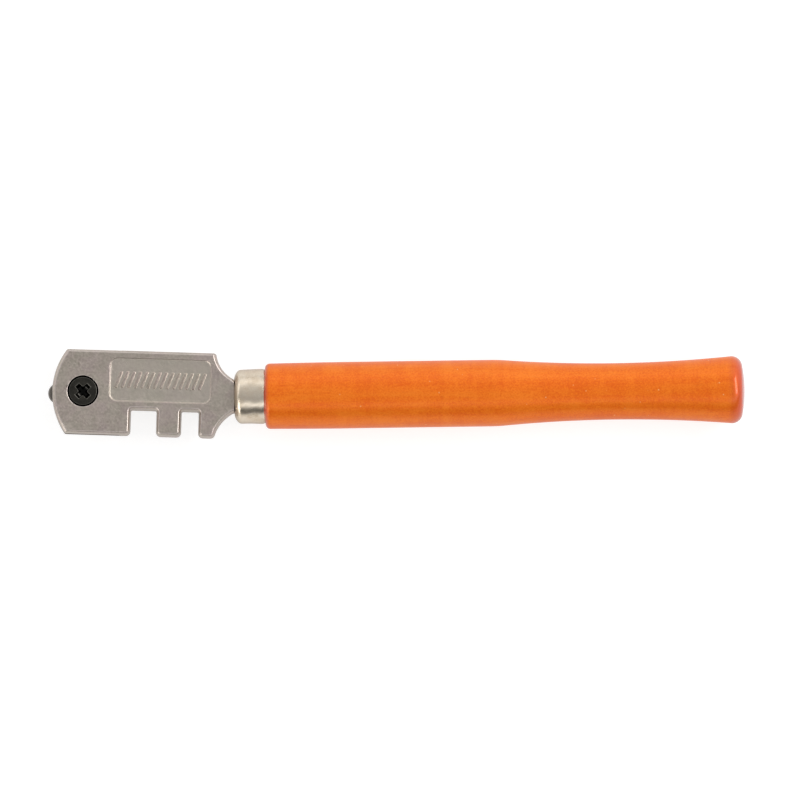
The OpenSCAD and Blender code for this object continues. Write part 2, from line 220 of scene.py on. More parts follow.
half_w = head_w / 2
skew = math.asin(-along[1])
nose_centre = nose_r - nose_reach
nose_angle = math.degrees(math.asin(half_w / nose_r))
nose = arc((nose_centre, 0), nose_r, 180 - nose_angle + 3, 180 + nose_angle - 3, 41)
nose_corner = nose_centre - nose_r * math.cos(math.radians(nose_angle))
low_scoop = arc_through((plate_back, -half_w), (head_len, -neck_half), low_scoop_r, 1, 1.2, 0.3, 19)
top_scoop = arc_through((head_len, neck_half), (plate_back, half_w), top_scoop_r, 1, 0.3, 0.8, 19)
neck_slant = neck_half * math.tan(skew)
runs = [
    ([(nose_corner, half_w)], nose_corner_r),
    (nose, 0),
    ([(nose_corner, -half_w)], nose_corner_r),
    ([(wide_notch[0], -half_w)], tooth_r),
    ([(wide_notch[0], notch_top), (wide_notch[1], notch_top)], notch_fillet_r),
    ([(wide_notch[1], -half_w), (narrow_notch[0], -half_w)], tooth_r),
    ([(narrow_notch[0], notch_top), (narrow_notch[1], notch_top)], notch_fillet_r),
    ([(narrow_notch[1], -half_w), (plate_back, -half_w)], tooth_r),
    (low_scoop, 0),
    ([(head_len + neck_slant, -neck_half), (head_len - neck_slant, neck_half)], 0),
    (top_scoop, 0),
    ([(plate_back, half_w)], rear_corner_r),
]
corners = np.concatenate([np.asarray(points) for points, _ in runs])
radii = np.concatenate([np.full(len(points), radius) for points, radius in runs])
# The edge is rounded more at the nose, and the neck's end stays flat against the ferrule
moves = np.ones(len(corners))
moves[:len(nose) + 1] = nose_rounding
moves[len(corners) - len(top_scoop) - 3] = 0

# The wall's lean as (inset, height above mid thickness): parting line, draft, rounded edge, flat face
wall = np.array([
    (0.0, 0.0), (0.03, 0.12), (0.19, 2.3), (0.21, 2.46), (0.26, 2.62), (0.34, 2.77), (0.44, 2.89),
    (0.54, 2.96), (0.62, 2.99), (0.7, 3.0), (0.8, 3.0),
])
wall[:, 1] *= head_half_t / wall[-1, 1]
wall = np.concatenate([wall[:0:-1] * [1, -1], wall])

casting = Shell()
rear_rim, front_rim = casting.walls(
    [inset_loop(corners, radii, moves, inset) for inset, _ in wall], wall[:, 1]
)

# Sunken panel: (inset, depth below the face), then the raised bars on its floor: (inset, rise)
panel_low, panel_high, panel_corner_r = (4.9, -1.73), (23.875, 6.5), 1.5
panel_corners = [panel_low, (panel_high[0], panel_low[1]), panel_high, (panel_low[0], panel_high[1])]
panel_wall = [
    (-0.12, 0), (-0.06, 0), (0.0, 0.02), (0.05, 0.06), (0.13, 0.16), (0.19, 0.205), (0.26, 0.222),
    (0.34, 0.228), (0.58, 0.245), (0.66, 0.25),
]
bar_w, bar_h, bar_corner_r, bar_lean = 0.55, 3.05, 0.16, 20
bar_step, bar_count = 1.2, 14
bar_rise = [(-0.14, 0), (-0.06, 0), (0.0, 0.035), (0.05, 0.18), (0.09, 0.235), (0.13, 0.25), (0.18, 0.25)]
panel_mid = np.mean(panel_corners, axis=0)
slant = bar_h / 2 * math.tan(math.radians(bar_lean))
bar_corners = np.array([
    (-bar_w / 2 - slant, -bar_h / 2), (bar_w / 2 - slant, -bar_h / 2),
    (bar_w / 2 + slant, bar_h / 2), (-bar_w / 2 + slant, bar_h / 2),
])
bar_places = (np.arange(bar_count) - (bar_count - 1) / 2) * bar_step


def sunken_panel(shell, face):
    """Walls and floor of the panel and its bars in the face at +1 or -1. Returns the panel's rim."""
    top, four = face * head_half_t, np.ones(4)
    rim, edge = shell.walls(
        [inset_loop(panel_corners, panel_corner_r * four, four, inset) for inset, _ in panel_wall],
        [top - face * depth for _, depth in panel_wall],
    )
    floor, feet = panel_wall[-1][1], []
    for place in bar_places:
        flats = [
            inset_loop(bar_corners, bar_corner_r * four, four, inset, 4) + panel_mid + (place, 0)
            for inset, _ in bar_rise
        ]
        foot, crown = shell.walls(flats, [top - face * (floor - rise) for _, rise in bar_rise])
        shell.cap(crown)
        feet.append(foot)
    shell.cap(edge, *feet)
    return rim


# Screw seat: (radius, height) down the countersink, through the cheeks and out of the tapped hole
seat_r, bore_r, tapped_r = 2.9, 1.55, 1.56
lip_foot = head_half_t - 0.11
seat = [
    (seat_r + 0.24, head_half_t), (seat_r + 0.14, head_half_t), (seat_r + 0.08, head_half_t - 0.015),
    (seat_r + 0.03, head_half_t - 0.05), (seat_r, lip_foot), (bore_r + 0.02, lip_foot - (seat_r - bore_r)),
    (bore_r, 1.4), (bore_r, 1.0), (tapped_r, 0.9), (tapped_r, 0.25 - head_half_t),
    (tapped_r + 0.16, 0.05 - head_half_t), (tapped_r + 0.2, -head_half_t), (tapped_r + 0.3, -head_half_t),
]
seat_front, seat_rear = casting.walls([circle(r, count=96) for r, _ in seat], [z for _, z in seat])
casting.cap(front_rim, sunken_panel(casting, 1), seat_front)
casting.cap(rear_rim, sunken_panel(casting, -1), seat_rear)
head = casting.mesh("head_casting", from_head)

# The turret's slot, open at the nose and along both edges
turret_low, turret_high = box_mm("turret")
slot_back, turret_side_gap = 7.0, 0.05
slot_half = (turret_high[2] - turret_low[2]) / 2 + turret_side_gap
past_nose, past_edge = -nose_reach - 3.1, half_w + 4
slot = Shell()
slot_flat = [(past_nose, -past_edge), (slot_back, -past_edge), (slot_back, past_edge), (past_nose, past_edge)]
slot_floor, slot_roof = slot.walls([slot_flat] * 2, [-slot_half, slot_half])
slot.cap(slot_floor)
slot.cap(slot_roof)
join_or_cut(head, slot.mesh("slot_cutter", from_head))


def lathe(name, profile, segments, centre, axis="Z", closed=False):
    """A profile of (distance along the axis, radius) turned about a line through centre, so that a
    point lies at centre + distance * axis + radius * (cos a, sin a) across it. A closed profile
    makes a ring, and an open one starts and ends on the axis."""
    profile = np.asarray(profile, float)
    a = np.linspace(0, 2 * math.pi, segments, endpoint=False)
    far = np.broadcast_to(profile[:, :1], (len(profile), segments))
    side, up = profile[:, 1:] * np.cos(a), profile[:, 1:] * np.sin(a)
    order = (far, side, up) if axis == "X" else (side, up, far)
    return swept(name, np.stack(order, axis=-1) + np.asarray(centre), closed)


def swept(name, grid, closed):
    """A surface over a grid of rings: quads between neighbours, wrapped round each ring."""
    rows, columns = grid.shape[:2]
    numbers = np.arange(rows * columns).reshape(rows, columns)
    if closed:
        numbers = np.concatenate([numbers, numbers[:1]])
    after = np.roll(numbers, -1, axis=1)
    faces = np.stack([numbers[:-1], after[:-1], after[1:], numbers[1:]], axis=-1).reshape(-1, 4)
    return solid(name, grid.reshape(-1, 3), faces.tolist())


tang_r, tang_end, tang_root, tang_bevel = 2.0, 24.0, -1.0, 0.8
tang = [(tang_root, 0), (tang_root, tang_r), (tang_end - tang_bevel, tang_r), (tang_end, tang_r - tang_bevel),
        (tang_end, 0)]
join_or_cut(head, lathe("tang", tang, 64, (*neck_end, head_mid_z), "X"), "UNION")
smooth(head, 26)


def add_node(tree, kind, inputs=None, **settings):
    """A shader node with its settings and inputs. An input that is a socket is linked."""
    node = tree.nodes.new(kind)
    for name, value in settings.items():
        setattr(node, name, value)
    for name, value in (inputs or {}).items():
        if isinstance(value, bpy.types.NodeSocket):
            tree.links.new(value, node.inputs[name])
        else:
            node.inputs[name].default_value = value
    return node


def ramp(tree, value, stops, interpolation="LINEAR"):
    """A colour ramp over a value, with stops of (position, colour or grey)."""
    node = add_node(tree, "ShaderNodeValToRGB", {"Fac": value})
    band = node.color_ramp
    band.interpolation = interpolation
    while len(band.elements) < len(stops):
        band.elements.new(0.5)
    for element, (position, colour) in zip(band.elements, stops):
        grey = not isinstance(colour, tuple)
        element.position = position
        element.color = (colour, colour, colour, 1) if grey else (*colour, 1)
    return node.outputs["Color"]


def calculate(tree, operation, first, second=0.0, third=0.0, clamp=False):
    terms = {0: first, 1: second, 2: third}
    return add_node(tree, "ShaderNodeMath", terms, operation=operation, use_clamp=clamp).outputs[0]


def rescaled(tree, value, first, last, to_first, to_last):
    """A value moved from one range to another and held inside it."""
    return add_node(tree, "ShaderNodeMapRange", {
        "Value": value, "From Min": first, "From Max": last, "To Min": to_first, "To Max": to_last,
    }).outputs[0]


def noise(tree, place, scale, detail, roughness=0.5):
    return add_node(tree, "ShaderNodeTexNoise", {
        "Vector": place, "Scale": scale, "Detail": detail, "Roughness": roughness,
    }).outputs["Fac"]


def multiplied(tree, first, second):
    """Two vectors multiplied part by part."""
    return add_node(tree, "ShaderNodeVectorMath", {0: first, 1: second}, operation="MULTIPLY").outputs[0]


def mixed(tree, amount, first, second):
    """Two colours mixed. An input that is a plain colour is set, and one that is a socket is linked."""
    node = add_node(tree, "ShaderNodeMix", data_type="RGBA", clamp_factor=True)
    for number, value in ((0, amount), (6, first), (7, second)):
        if isinstance(value, bpy.types.NodeSocket):
            tree.links.new(value, node.inputs[number])
        elif isinstance(value, tuple):
            node.inputs[number].default_value = (*value, 1)
        else:
            node.inputs[number].default_value = value
    return node.outputs[2]


def touched(tree, base, mask, share, colour):
    """A base colour with a share of another one where a mask is 1."""
    return mixed(tree, calculate(tree, "MULTIPLY", mask, share), base, colour)


def painted(tree, name):
    """The value of a point attribute that mark() has written."""
    return add_node(tree, "ShaderNodeAttribute", attribute_name=name).outputs["Fac"]


def start_group(name, inputs, outputs):
    """A shader node group with float inputs {name: default} and outputs {name: kind}."""
    tree = bpy.data.node_groups.new(name, "ShaderNodeTree")
    for label, default in inputs.items():
        socket = tree.interface.new_socket(label, in_out="INPUT", socket_type="NodeSocketFloat")
        socket.default_value = default
    for label, kind in outputs.items():
        tree.interface.new_socket(label, in_out="OUTPUT", socket_type="NodeSocket" + kind)
    return tree, tree.nodes.new("NodeGroupInput"), tree.nodes.new("NodeGroupOutput")


def use_group(tree, group, inputs=None):
    return add_node(tree, "ShaderNodeGroup", inputs, node_tree=group).outputs


def start_material(name):
    """A material with its output and Principled shader, ready for its own nodes."""
    material = bpy.data.materials.new(name)
    material.use_nodes = True
    tree = material.node_tree
    tree.nodes.clear()
    shader = add_node(tree, "ShaderNodeBsdfPrincipled")
    add_node(tree, "ShaderNodeOutputMaterial", {"Surface": shader.outputs[0]})
    place = add_node(tree, "ShaderNodeTexCoord").outputs["Object"]
    return material, tree, shader, place


def set_bump(tree, shader, height, strength, distance, under=None):
    """Gives the shader a bump from a height, on top of another bump where there is one."""
    bump = add_node(tree, "ShaderNodeBump", {"Height": height, "Strength": strength, "Distance": distance})
    if under is not None:
        tree.links.new(under, bump.inputs["Normal"])
    tree.links.new(bump.outputs[0], shader.inputs["Normal"])


def scratch_group():
    """Fine straight scratches along one direction: noise squeezed across it and stretched along it,
    kept only where it crosses its middle value, and broken up by a coarser noise."""
    tree, given, result = start_group(
        "fine_scratches", {"Angle": 0.0, "Across": 2600.0, "Along": 60.0, "Share": 0.5},
        {"Mask": "Float"},
    )
    place = add_node(tree, "ShaderNodeTexCoord").outputs["Object"]
    turn = add_node(tree, "ShaderNodeVectorRotate", {
        "Vector": place, "Axis": (0, 0, 1), "Angle": given.outputs["Angle"],
    }, rotation_type="AXIS_ANGLE")
    spread = add_node(tree, "ShaderNodeCombineXYZ", {
        0: given.outputs["Along"], 1: given.outputs["Across"], 2: given.outputs["Across"],
    })
    squeezed = multiplied(tree, turn.outputs[0], spread.outputs[0])
    off = calculate(tree, "ABSOLUTE", calculate(tree, "SUBTRACT", noise(tree, squeezed, 1.0, 1.0), 0.5))
    thin = calculate(tree, "SUBTRACT", 1.0, calculate(tree, "MULTIPLY", off, 34.0), clamp=True)
    shown = calculate(tree, "GREATER_THAN", given.outputs["Share"], noise(tree, place, 420.0, 2.0))
    tree.links.new(calculate(tree, "MULTIPLY", thin, shown), result.inputs["Mask"])
    return tree


def few_cells(tree, place, scale, size, share, channel):
    """Soft dots, 1 at their middle, at the centres of a share of a Voronoi pattern's cells. The share is
    taken by one channel of the cells' own random colours."""
    cells = add_node(tree, "ShaderNodeTexVoronoi", {"Vector": place, "Scale": scale})
    far = calculate(tree, "DIVIDE", cells.outputs["Distance"], size)
    near = calculate(tree, "SUBTRACT", 1.0, far, clamp=True)
    colour = add_node(tree, "ShaderNodeSeparateColor", {0: cells.outputs["Color"]})
    chosen = calculate(tree, "LESS_THAN", colour.outputs[channel], share)
    return calculate(tree, "MULTIPLY", near, chosen)


def mottle_group():
    """Uneven tone of cast or plated metal, as a coarse and a fine noise, and the casting's small pits."""
    tree, given, result = start_group(
        "cast_mottle",
        {"Coarse": 260.0, "Fine": 2400.0, "Pit Scale": 900.0, "Pit Size": 0.13, "Pit Share": 0.12},
        {"Tone": "Float", "Grit": "Float", "Pits": "Float"},
    )
    place = add_node(tree, "ShaderNodeTexCoord").outputs["Object"]
    coarse = noise(tree, place, given.outputs["Coarse"], 4.0, 0.6)
    fine = noise(tree, place, given.outputs["Fine"], 3.0, 0.65)
    tone = calculate(tree, "MULTIPLY_ADD", coarse, 0.7, calculate(tree, "MULTIPLY", fine, 0.3))
    pit_inputs = [given.outputs[name] for name in ("Pit Scale", "Pit Size", "Pit Share")]
    pits = few_cells(tree, place, *pit_inputs, 0)
    for name, value in (("Tone", tone), ("Grit", fine), ("Pits", pits)):
        tree.links.new(value, result.inputs[name])
    return tree


fine_scratches, cast_mottle = scratch_group(), mottle_group()


def scratched(tree, angle, across, along, share):
    """1 on fine scratches at an angle, over a share of the surface."""
    inputs = {"Angle": angle, "Across": across, "Along": along, "Share": share}
    return use_group(tree, fine_scratches, inputs)["Mask"]


def mark(piece, name, rule):
    """Writes a rule of the piece's points, in millimetres, as a point attribute for its material."""
    place = np.empty(len(piece.data.vertices) * 3)
    piece.data.vertices.foreach_get("co", place)
    value = np.asarray(rule(place.reshape(-1, 3) / MM), np.float32)
    piece.data.attributes.new(name, "FLOAT", "POINT").data.foreach_set("value", value)


def head_axes(p):
    """Row axes back to head axes: distances along and across the head from the screw, and from mid
    thickness."""
    flat = p[:, :2] - screw_axis
    return flat @ along, flat @ across, p[:, 2] - head_mid_z


def in_panel(u, v, margin):
    """True inside the panel's outline made wider by a margin, which may be negative."""
    low, high = np.subtract(panel_low, margin), np.add(panel_high, margin)
    return (u > low[0]) & (u < high[0]) & (v > low[1]) & (v < high[1])


def lip_wear_and_highlights(p):
    """1 on the casting's sharp outer lips, a few hundredths below a flat face, where handling wears it
    bright and a painted highlight stands in for the light along the edges, and less round the panel."""
    u, v, z = head_axes(p)
    below_face = head_half_t - np.abs(z)
    lip = (below_face < 0.06) & (below_face > 0.002) & ~in_panel(u, v, -0.15)
    return lip * np.where(in_panel(u, v, 0.3), 0.35, 1.0)


def panel_floor(p):
    """1 on the panel's floor, which the polishing belt doesn't reach."""
    u, v, z = head_axes(p)
    return in_panel(u, v, -0.15) & (head_half_t - np.abs(z) > 0.14)


def seat_painted_shade(p):
    """1 down the countersink, where shade is painted on as near black."""
    u, v, z = head_axes(p)
    return (np.hypot(u, v) < seat_r + 0.01) & (z > 0) & (z < lip_foot + 0.01)


def plated_zinc():
    """Satin nickel over cast zinc: patches from lavender to tan over a grey mottling, with scratches,
    pits, a duller panel floor, lips brighter from wear and a painted highlight, and painted shade down
    the countersink."""
    material, tree, shader, place = start_material("satin_plated_zinc")
    mottle = use_group(tree, cast_mottle, {"Pit Scale": 520.0, "Pit Size": 0.2, "Pit Share": 0.07})
    scratches = scratched(tree, 0.9, 2300, 150, 0.5)
    grey = ramp(tree, mottle["Tone"], [
        (0.32, (0.4, 0.345, 0.3)), (0.5, (0.51, 0.445, 0.395)), (0.68, (0.62, 0.54, 0.485)),
    ])
    hue = ramp(tree, noise(tree, place, 380.0, 3.0, 0.55), [
        (0.36, (0.53, 0.435, 0.42)), (0.5, (0.51, 0.445, 0.39)), (0.64, (0.485, 0.455, 0.375)),
    ])
    tone = mixed(tree, 0.55, grey, hue)
    tone = mixed(tree, rescaled(tree, mottle["Grit"], 0.38, 0.66, 0.0, 0.5), tone, (0.66, 0.58, 0.52))
    tone = touched(tree, tone, painted(tree, "sunk"), 0.5, (0.63, 0.585, 0.5))
    tone = touched(tree, tone, scratches, 0.3, (0.74, 0.67, 0.6))
    tone = touched(tree, tone, mottle["Pits"], 0.75, (0.16, 0.13, 0.11))
    # Lips take a lighter lilac: partly real wear, partly a painted highlight along the edges.
    tone = touched(tree, tone, painted(tree, "lip"), 0.4, (0.78, 0.7, 0.68))
    # Painted shade: near black down the countersink, standing in for the shadow in the gap round the screw.
    tone = mixed(tree, painted(tree, "painted_shade"), tone, (0.006, 0.005, 0.004))
    tree.links.new(tone, shader.inputs["Base Color"])
    shader.inputs["Metallic"].default_value = 1.0
    tree.links.new(rescaled(tree, mottle["Grit"], 0.3, 0.7, 0.3, 0.46), shader.inputs["Roughness"])
    height = calculate(tree, "MULTIPLY_ADD", mottle["Pits"], -2.0, mottle["Grit"])
    height = calculate(tree, "MULTIPLY_ADD", scratches, -0.35, height)
    set_bump(tree, shader, height, 0.5, 0.00004)
    return material


# Lips are marked for their wear and their painted highlight.
mark(head, "lip", lip_wear_and_highlights)
mark(head, "sunk", panel_floor)
# Painted shade down the countersink, as a point attribute.
mark(head, "painted_shade", seat_painted_shade)
head.data.materials.append(plated_zinc())
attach(head, "body")
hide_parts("head")


# ---- Turret ----
# A turned steel disc with a hub, a groove round its rim for the wheels and six holes for their axles.
# It sits between the head's cheeks on the clamp screw.

def half_sizes(node):
    """A round node's radius and half its height, for a node that stands along Z."""
    low, high = box_mm(node)
    return (high[0] - low[0]) / 2, (high[2] - low[2]) / 2


turret_mid = (turret_low + turret_high) / 2
turret_r, turret_half = half_sizes("turret")
wheels = [f"wheel_{number}" for number in range(1, 7)]
wheel_mids = np.array([sum(box_mm(name)) / 2 for name in wheels])
wheel_r, wheel_half = half_sizes("wheel_1")
axle_r, axle_half = half_sizes("axle_1")
pitch_r = float(np.linalg.norm(wheel_mids[0][:2] - turret_mid[:2]))
wheel_side_gap, groove_gap, edge = 0.05, 0.15, 0.06
groove_half, groove_r = wheel_half + wheel_side_gap, pitch_r - wheel_r - groove_gap


def turret_disc():
    """Two flat flanges on a hub. Each flange is capped round the hub's bore or side and the axle
    holes, and bands join its caps round the rim and down each hole."""
    shell = Shell()
    holes = wheel_mids[:, :2] - turret_mid[:2]
    hub_loops = []
    for face in (-1, 1):
        outer, inner = face * turret_half, face * groove_half
        rim = [(turret_r - edge, outer), (turret_r, outer - face * edge), (turret_r, inner + face * edge),
               (turret_r - edge, inner)]
        top, under = shell.walls([circle(r, count=160) for r, _ in rim], [z for _, z in rim])
        hole = [(axle_r + edge / 2, outer), (axle_r, outer - face * edge / 2), (axle_r, inner)]
        ends = [shell.walls([circle(r, at, 32) for r, _ in hole], [z for _, z in hole]) for at in holes]
        bore = shell.walls([circle(bore_r + edge), circle(bore_r)], [outer, outer - face * edge])
        hub = shell.loop(circle(groove_r), inner)
        shell.cap(top, bore[0], *(first for first, _ in ends))
        shell.cap(under, hub, *(last for _, last in ends))
        hub_loops.append((hub, bore[1]))
    shell.band(hub_loops[0][0], hub_loops[1][0])
    shell.band(hub_loops[0][1], hub_loops[1][1])
    return shell.mesh("turret_disc", lambda p: p + turret_mid)


def turned_steel(name, dark, light, roughness, ring_scale, centre=(0, 0, 0)):
    """Bright turned or ground steel: fine rings of tone round the piece's own axis, soft mottling."""
    material, tree, shader, place = start_material(name)
    mottle = use_group(tree, cast_mottle, {"Coarse": 500.0, "Pit Share": 0.0})
    own = add_node(tree, "ShaderNodeMapping", {
        "Vector": place, "Location": tuple(-MM * np.asarray(centre, float)),
    }).outputs[0]
    rings = add_node(tree, "ShaderNodeTexWave", {
        "Vector": own, "Scale": ring_scale, "Distortion": 0.6, "Detail": 2.0,
    }, wave_type="RINGS", rings_direction="Z").outputs["Fac"]
    tone = calculate(tree, "MULTIPLY_ADD", rings, 0.35, calculate(tree, "MULTIPLY", mottle["Tone"], 0.65))
    tree.links.new(ramp(tree, tone, [(0.25, dark), (0.75, light)]), shader.inputs["Base Color"])
    shader.inputs["Metallic"].default_value = 1.0
    rough = rescaled(tree, mottle["Grit"], 0.3, 0.7, roughness - 0.06, roughness + 0.08)
    tree.links.new(rough, shader.inputs["Roughness"])
    set_bump(tree, shader, rings, 0.25, 0.000006)
    return material


turret = turret_disc()
smooth(turret, 30)
turret.data.materials.append(
    turned_steel("turned_turret_steel", (0.36, 0.34, 0.31), (0.58, 0.56, 0.53), 0.32, 900.0, turret_mid)
)
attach(turret, "turret")
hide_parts("turret")


# ---- Axles ----
# Six hard pins pressed into the turret's flanges, each with a small chamfer at its ends. A wheel turns
# on the middle of each.

axle_bevel = 0.08
axle_steel = turned_steel("axle_steel", (0.4, 0.39, 0.37), (0.62, 0.61, 0.58), 0.24, 2400.0)
for number in range(1, 7):
    profile = [(-axle_half, 0), (-axle_half, axle_r - axle_bevel), (-axle_half + axle_bevel, axle_r),
               (axle_half - axle_bevel, axle_r), (axle_half, axle_r - axle_bevel), (axle_half, 0)]
    pin = lathe(f"axle_pin_{number}", profile, 48, sum(box_mm(f"axle_{number}")) / 2)
    smooth(pin, 30)
    pin.data.materials.append(axle_steel)
    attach(pin, "turret")
    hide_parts(f"axle_{number}")


# ---- Cutting wheels ----
# Six small discs of hardened tool steel, loose on their axles. Each is ground on both sides to a blunt
# V edge and has a ring turned into each face.

edge_angle, wheel_fit, bore_bevel = 134, 0.05, 0.04
relief_in, relief_out, relief_depth = 1.05, 1.37, 0.03
blunt_half, blunt_r = 0.012, wheel_r - 0.006
wheel_bore_r = axle_r + wheel_fit
land_r = wheel_r - wheel_half / math.tan(math.radians(edge_angle / 2))
# One side of the ground section as (height, radius), from the edge in to the bore
upper = [
    (blunt_half, blunt_r), (wheel_half, land_r), (wheel_half, relief_out),
    (wheel_half - relief_depth, relief_out - relief_depth),
    (wheel_half - relief_depth, relief_in + relief_depth), (wheel_half, relief_in),
    (wheel_half, wheel_bore_r + bore_bevel), (wheel_half - bore_bevel, wheel_bore_r),
]
ground = [(-height, radius) for height, radius in reversed(upper)] + upper
for name, mid in zip(wheels, wheel_mids):
    disc = lathe(f"cutting_{name}", ground, 96, mid, closed=True)
    smooth(disc, 18)
    disc.data.materials.append(
        turned_steel(f"hardened_steel_{name}", (0.14, 0.125, 0.11), (0.33, 0.3, 0.27), 0.28, 1600.0, mid)
    )
    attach(disc, name)
    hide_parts(name)


# ---- Clamp screw ----
# A countersunk machine screw with a cross recess, blacked steel. It passes through the front cheek and
# the turret, and its thread holds in the rear cheek.

screw_mid = np.array([*screw_axis, head_mid_z])
screw_top, screw_end = screw_high[2] - head_mid_z, screw_low[2] - head_mid_z
screw_head_r = (screw_high[0] - screw_low[0]) / 2
shank_r, thread_top, thread_pitch, thread_depth = 1.5, -slot_half, 0.5, 0.27
thread_fade, point_len, point_bevel, ring_step = 0.25, 0.22, 0.24, 0.035
cross_from_head, tip_r = 45.2, 0.12
cross_turn = math.radians(cross_from_head) + math.atan2(along[1], along[0])
screw_sides = 120


def thread_rings(top, bottom):
    """Rings of a real helical thread. The radius falls from crest to root with the triangle wave of
    height / pitch - angle / turn, flattened at both, and fades out at the thread's start. The point is
    bevelled."""
    z = np.linspace(top, bottom, int((top - bottom) / ring_step))[:, None]
    a = np.linspace(0, 2 * math.pi, screw_sides, endpoint=False)[None, :]
    phase = (z / thread_pitch - a / (2 * math.pi)) % 1
    groove = np.clip(1.25 * np.abs(2 * phase - 1) - 0.1, 0, 1)
    fade = np.clip((top - z) / thread_fade, 0, 1)
    bevel = point_bevel * (1 - np.clip((z - bottom) / point_len, 0, 1))
    return np.minimum(shank_r - thread_depth * groove * fade, shank_r - bevel), z


def cross_outline(reach, arm_w, fillet):
    """A cross with arms of one reach and width, its inner corners filled and outer corners rounded."""
    half = arm_w / 2
    arm = np.array([(reach, -half), (reach, half), (half, half)])
    quarter_turn, around, arms = np.array([[0, -1], [1, 0]]), np.eye(2), []
    for _ in range(4):
        arms.append(arm @ around.T)
        around = quarter_turn @ around
    return inset_loop(np.concatenate(arms), np.tile([tip_r, tip_r, fillet], 4), np.ones(12), 0.0, 6)


def clamp_screw_body():
    """The head's rounded brow and cone, the shank and the thread, with the recess sunk in the top."""
    shell = Shell()
    cone_h = screw_head_r - shank_r
    brow = [(-0.34, -0.035), (-0.26, -0.03), (-0.2, -0.032), (-0.16, -0.06), (-0.13, -0.14), (-0.09, -0.28),
            (-0.03, -0.42), (0.0, -0.5), (-0.02, -0.54)]
    turned = [(screw_head_r + out, screw_top + z) for out, z in brow]
    turned += [(shank_r + 0.03, screw_top - 0.5 - cone_h), (shank_r, screw_top - 0.56 - cone_h),
               (shank_r, thread_top + 0.05)]
    top, shank = shell.walls([circle(r, count=screw_sides) for r, _ in turned], [z for _, z in turned])
    radius, z = thread_rings(thread_top, screw_end)
    first, last = shell.walls(radius[..., None] * circle(1, count=screw_sides), z[:, 0])
    shell.band(shank, first)
    shell.cap(last)
    cos, sin = math.cos(cross_turn), math.sin(cross_turn)
    turn = np.array([[cos, sin], [-sin, cos]])
    # (reach, arm width, corner fillet, height) from the recess's lip down to its floor
    recess = [(1.7, 1.18, 0.34, -0.03), (1.63, 1.11, 0.33, -0.032), (1.57, 1.05, 0.32, -0.055),
              (1.52, 1.0, 0.31, -0.11), (1.49, 0.97, 0.3, -0.2), (1.3, 0.86, 0.26, -0.8),
              (1.02, 0.7, 0.2, -1.3), (0.62, 0.46, 0.1, -1.5)]
    lip, floor = shell.walls(
        [cross_outline(reach, arm_w, fillet) @ turn for reach, arm_w, fillet, _ in recess],
        [screw_top + z for *_, z in recess],
    )
    shell.cap(top, lip)
    shell.cap(floor)
    return shell.mesh("clamp_screw_body", lambda p: p + screw_mid)


def screw_places(p):
    """Distance from the screw's axis, depth below its head, and True at the foot of two opposite arms of
    the recess, where glints are painted on."""
    side, up = p[:, 0] - screw_axis[0], p[:, 1] - screw_axis[1]
    radius, depth = np.hypot(side, up), screw_high[2] - p[:, 2]
    glint_spots = (depth > 1.25) & (depth < 1.4) & (radius > 0.75) & (radius < 1.2) & (side * up > 0)
    return radius, depth, glint_spots


def rub_and_highlight_marks(p):
    """1 on the rim of the screw's head and on the lip of its recess, where a driver rubs the black off and
    a highlight is painted on, and low down in two of its arms, where glints are painted on."""
    radius, depth, glint_spots = screw_places(p)
    rim = (depth < 0.06) & (np.abs(radius - screw_head_r + 0.19) < 0.06)
    lip = (depth > 0.031) & (depth < 0.15) & (radius < 1.8)
    return rim | lip | glint_spots


def screw_painted_shade(p):
    """1 under the head's rim and inside the recess, where shade is painted on as near black."""
    radius, depth, glint_spots = screw_places(p)
    under = (radius > screw_head_r - 0.15) & (depth > 0.1)
    inside = (radius < 1.75) & (depth > 0.16) & (depth < 1.6) & ~glint_spots
    return under | inside


def blacked_steel():
    """Blacked steel with fine scratches, lighter grey where it is rubbed and where highlights and glints
    are painted on, and near black where shade is painted on.
    """
    material, tree, shader, _ = start_material("blacked_screw_steel")
    mottle = use_group(tree, cast_mottle, {
        "Coarse": 700.0, "Fine": 3600.0, "Pit Scale": 1800.0, "Pit Share": 0.04,
    })
    scratches = scratched(tree, 0.3, 5200, 500, 0.42)
    tone = ramp(tree, mottle["Tone"], [(0.3, (0.02, 0.019, 0.016)), (0.7, (0.048, 0.045, 0.038))])
    tone = touched(tree, tone, scratches, 0.3, (0.12, 0.11, 0.09))
    rub_and_highlight_share = calculate(tree, "ADD", mottle["Grit"], 0.1)
    # Lighter grey on the rim and the recess's lip, partly rubbed wear and partly painted highlight, and
    # painted glints low in two arms.
    tone = touched(tree, tone, painted(tree, "rubbed_and_highlit"), rub_and_highlight_share, (0.2, 0.19, 0.17))
    # Painted shade: near black under the head's rim and inside the recess.
    tone = mixed(tree, painted(tree, "painted_shade"), tone, (0.001, 0.0008, 0.0006))
    tree.links.new(tone, shader.inputs["Base Color"])
    shader.inputs["Metallic"].default_value = 0.8
    tree.links.new(rescaled(tree, mottle["Grit"], 0.3, 0.7, 0.24, 0.4), shader.inputs["Roughness"])
    set_bump(tree, shader, mottle["Grit"], 0.3, 0.00001)
    return material


screw = clamp_screw_body()
smooth(screw, 34)
# Rubbed wear with painted highlights and glints, as a point attribute.
mark(screw, "rubbed_and_highlit", rub_and_highlight_marks)
# Painted shade under the head's rim and in the recess, as a point attribute.
mark(screw, "painted_shade", screw_painted_shade)
screw.data.materials.append(blacked_steel())
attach(screw, "screw")
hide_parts("clamp_screw")


# ---- Ferrule ----
# A nickel plated cup drawn from thin steel, pressed over the handle's spigot. The head's neck meets
# its slightly domed front, and the tang passes through the hole there.

